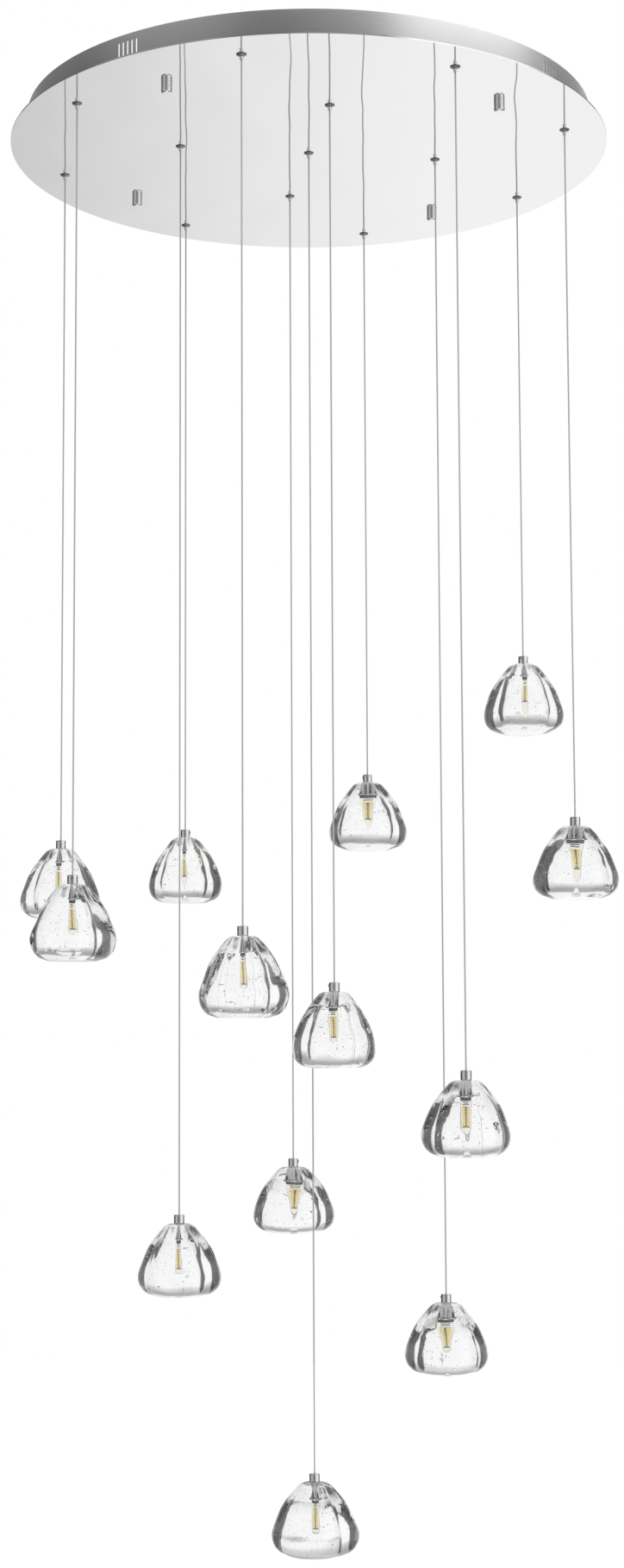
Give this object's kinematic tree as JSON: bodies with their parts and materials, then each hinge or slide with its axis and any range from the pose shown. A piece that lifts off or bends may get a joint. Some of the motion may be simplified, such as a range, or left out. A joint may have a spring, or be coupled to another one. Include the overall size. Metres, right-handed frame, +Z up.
{
  "type": "chandelier",
  "caption": "Cluster chandelier: lobed clear glass pendants with capsule lamps on thin height-adjustable cables, under a shallow round mirror canopy.",
  "frame": {"origin": "centre of the ceiling bracket on the ceiling plane", "axes": "+Z up, out of the bracket into the ceiling; the pictured view looks along +Y with +X to the right"},
  "size_m": [0.7999, 0.8, 1.8833],
  "materials": {
    "mirror_steel": "mirror-polished stainless steel",
    "brushed_steel": "brushed along its length",
    "zinc_steel": "zinc plated",
    "polished_chrome": "polished",
    "dark_chrome": "polished, dark",
    "white_plastic": "satin",
    "grey_plastic": "satin",
    "wire_jacket": "clear jacket over wire",
    "cable_jacket": "clear jacket over a silver braid",
    "lamp_capsule": "clear capsule with two yellow light bars",
    "clear_glass": "clear cast glass with seed bubbles"
  },
  "bodies": {
    "canopy": {"mirror_plate": "mirror_steel", "rim_band": "brushed_steel", "ceiling_bracket": "zinc_steel", "cap_nuts": "polished_chrome", "cable_glands": "dark_chrome", "junction_block": "white_plastic", "lamp_driver": "grey_plastic", "internal_wiring": "wire_jacket"},
    "cable_01": {"cable_01": "cable_jacket"},
    "pendant_01": {"lamp_holder_01": "polished_chrome", "lamp_01": "lamp_capsule", "glass_01": "clear_glass"},
    "cable_02": {"cable_02": "cable_jacket"},
    "pendant_02": {"lamp_holder_02": "polished_chrome", "lamp_02": "lamp_capsule", "glass_02": "clear_glass"},
    "cable_03": {"cable_03": "cable_jacket"},
    "pendant_03": {"lamp_holder_03": "polished_chrome", "lamp_03": "lamp_capsule", "glass_03": "clear_glass"},
    "cable_04": {"cable_04": "cable_jacket"},
    "pendant_04": {"lamp_holder_04": "polished_chrome", "lamp_04": "lamp_capsule", "glass_04": "clear_glass"},
    "cable_05": {"cable_05": "cable_jacket"},
    "pendant_05": {"lamp_holder_05": "polished_chrome", "lamp_05": "lamp_capsule", "glass_05": "clear_glass"},
    "cable_06": {"cable_06": "cable_jacket"},
    "pendant_06": {"lamp_holder_06": "polished_chrome", "lamp_06": "lamp_capsule", "glass_06": "clear_glass"},
    "cable_07": {"cable_07": "cable_jacket"},
    "pendant_07": {"lamp_holder_07": "polished_chrome", "lamp_07": "lamp_capsule", "glass_07": "clear_glass"},
    "cable_08": {"cable_08": "cable_jacket"},
    "pendant_08": {"lamp_holder_08": "polished_chrome", "lamp_08": "lamp_capsule", "glass_08": "clear_glass"},
    "cable_09": {"cable_09": "cable_jacket"},
    "pendant_09": {"lamp_holder_09": "polished_chrome", "lamp_09": "lamp_capsule", "glass_09": "clear_glass"},
    "cable_10": {"cable_10": "cable_jacket"},
    "pendant_10": {"lamp_holder_10": "polished_chrome", "lamp_10": "lamp_capsule", "glass_10": "clear_glass"},
    "cable_11": {"cable_11": "cable_jacket"},
    "pendant_11": {"lamp_holder_11": "polished_chrome", "lamp_11": "lamp_capsule", "glass_11": "clear_glass"},
    "cable_12": {"cable_12": "cable_jacket"},
    "pendant_12": {"lamp_holder_12": "polished_chrome", "lamp_12": "lamp_capsule", "glass_12": "clear_glass"},
    "cable_13": {"cable_13": "cable_jacket"},
    "pendant_13": {"lamp_holder_13": "polished_chrome", "lamp_13": "lamp_capsule", "glass_13": "clear_glass"}
  },
  "joints": [
    {"name": "swing_01", "type": "hinge", "parent": "canopy", "child": "cable_01", "pos_m": [0, 0, -0.0476], "axis": [0, 1, 0], "range_deg": [-4, 4]},
    {"name": "height_01", "type": "slide", "parent": "cable_01", "child": "pendant_01", "axis": [0, 0, 1], "range_m": [0, 1.442], "deforming": ["cable_01"]},
    {"name": "swing_02", "type": "hinge", "parent": "canopy", "child": "cable_02", "pos_m": [0.17159, 0.02887, -0.0476], "axis": [0, 1, 0], "range_deg": [-4, 4]},
    {"name": "height_02", "type": "slide", "parent": "cable_02", "child": "pendant_02", "axis": [0, 0, 1], "range_m": [0, 1.22], "deforming": ["cable_02"]},
    {"name": "swing_03", "type": "hinge", "parent": "canopy", "child": "cable_03", "pos_m": [-0.02887, 0.17159, -0.0476], "axis": [0, 1, 0], "range_deg": [-8, 8]},
    {"name": "height_03", "type": "slide", "parent": "cable_03", "child": "pendant_03", "axis": [0, 0, 1], "range_m": [0, 1.051], "deforming": ["cable_03"]},
    {"name": "swing_04", "type": "hinge", "parent": "canopy", "child": "cable_04", "pos_m": [-0.17159, -0.02887, -0.0476], "axis": [0, 1, 0], "range_deg": [-4, 4]},
    {"name": "height_04", "type": "slide", "parent": "cable_04", "child": "pendant_04", "axis": [0, 0, 1], "range_m": [0, 1.113], "deforming": ["cable_04"]},
    {"name": "swing_05", "type": "hinge", "parent": "canopy", "child": "cable_05", "pos_m": [0.02887, -0.17159, -0.0476], "axis": [0, 1, 0], "range_deg": [-8, 8]},
    {"name": "height_05", "type": "slide", "parent": "cable_05", "child": "pendant_05", "axis": [0, 0, 1], "range_m": [0, 0.821], "deforming": ["cable_05"]},
    {"name": "swing_06", "type": "hinge", "parent": "canopy", "child": "cable_06", "pos_m": [0.29411, 0.18414, -0.0476], "axis": [0, 1, 0], "range_deg": [-8, 8]},
    {"name": "height_06", "type": "slide", "parent": "cable_06", "child": "pendant_06", "axis": [0, 0, 1], "range_m": [0, 0.36], "deforming": ["cable_06"]},
    {"name": "swing_07", "type": "hinge", "parent": "canopy", "child": "cable_07", "pos_m": [0.07776, 0.33817, -0.0476], "axis": [0, 1, 0], "range_deg": [-8, 8]},
    {"name": "height_07", "type": "slide", "parent": "cable_07", "child": "pendant_07", "axis": [0, 0, 1], "range_m": [0, 0.508], "deforming": ["cable_07"]},
    {"name": "swing_08", "type": "hinge", "parent": "canopy", "child": "cable_08", "pos_m": [-0.18414, 0.29411, -0.0476], "axis": [0, 1, 0], "range_deg": [-8, 8]},
    {"name": "height_08", "type": "slide", "parent": "cable_08", "child": "pendant_08", "axis": [0, 0, 1], "range_m": [0, 0.591], "deforming": ["cable_08"]},
    {"name": "swing_09", "type": "hinge", "parent": "canopy", "child": "cable_09", "pos_m": [-0.33817, 0.07776, -0.0476], "axis": [0, 1, 0], "range_deg": [-8, 8]},
    {"name": "height_09", "type": "slide", "parent": "cable_09", "child": "pendant_09", "axis": [0, 0, 1], "range_m": [0, 0.623], "deforming": ["cable_09"]},
    {"name": "swing_10", "type": "hinge", "parent": "canopy", "child": "cable_10", "pos_m": [-0.29411, -0.18414, -0.0476], "axis": [0, 1, 0], "range_deg": [-8, 8]},
    {"name": "height_10", "type": "slide", "parent": "cable_10", "child": "pendant_10", "axis": [0, 0, 1], "range_m": [0, 0.688], "deforming": ["cable_10"]},
    {"name": "swing_11", "type": "hinge", "parent": "canopy", "child": "cable_11", "pos_m": [-0.07776, -0.33817, -0.0476], "axis": [0, 1, 0], "range_deg": [-8, 8]},
    {"name": "height_11", "type": "slide", "parent": "cable_11", "child": "pendant_11", "axis": [0, 0, 1], "range_m": [0, 0.759], "deforming": ["cable_11"]},
    {"name": "swing_12", "type": "hinge", "parent": "canopy", "child": "cable_12", "pos_m": [0.18414, -0.29411, -0.0476], "axis": [0, 1, 0], "range_deg": [-8, 8]},
    {"name": "height_12", "type": "slide", "parent": "cable_12", "child": "pendant_12", "axis": [0, 0, 1], "range_m": [0, 0.928], "deforming": ["cable_12"]},
    {"name": "swing_13", "type": "hinge", "parent": "canopy", "child": "cable_13", "pos_m": [0.33817, -0.07776, -0.0476], "axis": [0, 1, 0], "range_deg": [-8, 8]},
    {"name": "height_13", "type": "slide", "parent": "cable_13", "child": "pendant_13", "axis": [0, 0, 1], "range_m": [0, 0.609], "deforming": ["cable_13"]}
  ]
}
